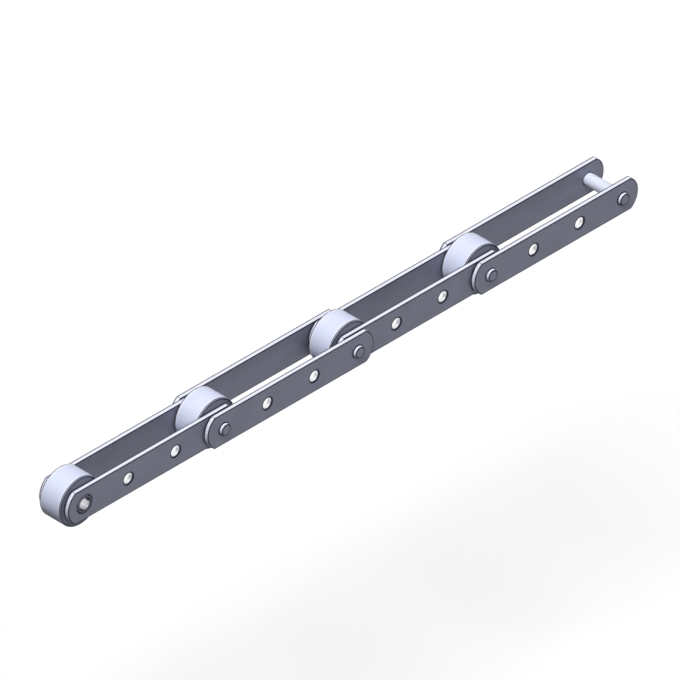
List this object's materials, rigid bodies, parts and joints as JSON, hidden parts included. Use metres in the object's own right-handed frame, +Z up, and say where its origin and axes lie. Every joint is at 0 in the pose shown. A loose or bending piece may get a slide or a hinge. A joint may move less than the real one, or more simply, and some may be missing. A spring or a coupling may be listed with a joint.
{
  "type": "conveyor chain strip",
  "caption": "Steel conveyor chain strip: straight plates on pins and bushes, large plain rollers, and bolt holes for attachments in the front plates.",
  "frame": {"origin": "centre of the free end bush's bore, midway between the plates", "axes": "+X along the straight chain towards the bare end pin, +Y along the pins away from the side with the attachment holes, +Z up"},
  "size_m": [0.854, 0.0654, 0.06],
  "materials": {
    "plate_steel": "hot rolled plate with a dark oxide face and bright ground edges",
    "roller_steel": "turned steel, tread polished by running",
    "bush_steel": "turned and hardened, smooth bore",
    "pin_steel": "ground shank with plain turned ends"
  },
  "bodies": {
    "inner_link_a": {"inner_plate_a_front": "plate_steel", "inner_plate_a_back": "plate_steel", "bush_1": "bush_steel", "bush_2": "bush_steel"},
    "outer_link_b": {"outer_plate_b_front": "plate_steel", "outer_plate_b_back": "plate_steel", "pin_1": "pin_steel", "pin_2": "pin_steel"},
    "inner_link_c": {"inner_plate_c_front": "plate_steel", "inner_plate_c_back": "plate_steel", "bush_3": "bush_steel", "bush_4": "bush_steel"},
    "outer_link_d": {"outer_plate_d_front": "plate_steel", "outer_plate_d_back": "plate_steel", "pin_3": "pin_steel", "pin_4": "pin_steel"},
    "roller_1": {"roller_1": "roller_steel"},
    "roller_2": {"roller_2": "roller_steel"},
    "roller_3": {"roller_3": "roller_steel"},
    "roller_4": {"roller_4": "roller_steel"}
  },
  "joints": [
    {"name": "link_joint_1", "type": "hinge", "parent": "inner_link_a", "child": "outer_link_b", "pos_m": [0.2, 0, 0], "axis": [0, 1, 0], "range_deg": [-60, 60]},
    {"name": "link_joint_2", "type": "hinge", "parent": "outer_link_b", "child": "inner_link_c", "pos_m": [0.4, 0, 0], "axis": [0, 1, 0], "range_deg": [-60, 60]},
    {"name": "link_joint_3", "type": "hinge", "parent": "inner_link_c", "child": "outer_link_d", "pos_m": [0.6, 0, 0], "axis": [0, 1, 0], "range_deg": [-60, 60]},
    {"name": "roller_turn_1", "type": "hinge", "parent": "inner_link_a", "child": "roller_1", "pos_m": [0, 0, 0], "axis": [0, 1, 0], "continuous": true},
    {"name": "roller_turn_2", "type": "hinge", "parent": "inner_link_a", "child": "roller_2", "pos_m": [0.2, 0, 0], "axis": [0, 1, 0], "continuous": true},
    {"name": "roller_turn_3", "type": "hinge", "parent": "inner_link_c", "child": "roller_3", "pos_m": [0.4, 0, 0], "axis": [0, 1, 0], "continuous": true},
    {"name": "roller_turn_4", "type": "hinge", "parent": "inner_link_c", "child": "roller_4", "pos_m": [0.6, 0, 0], "axis": [0, 1, 0], "continuous": true}
  ]
}
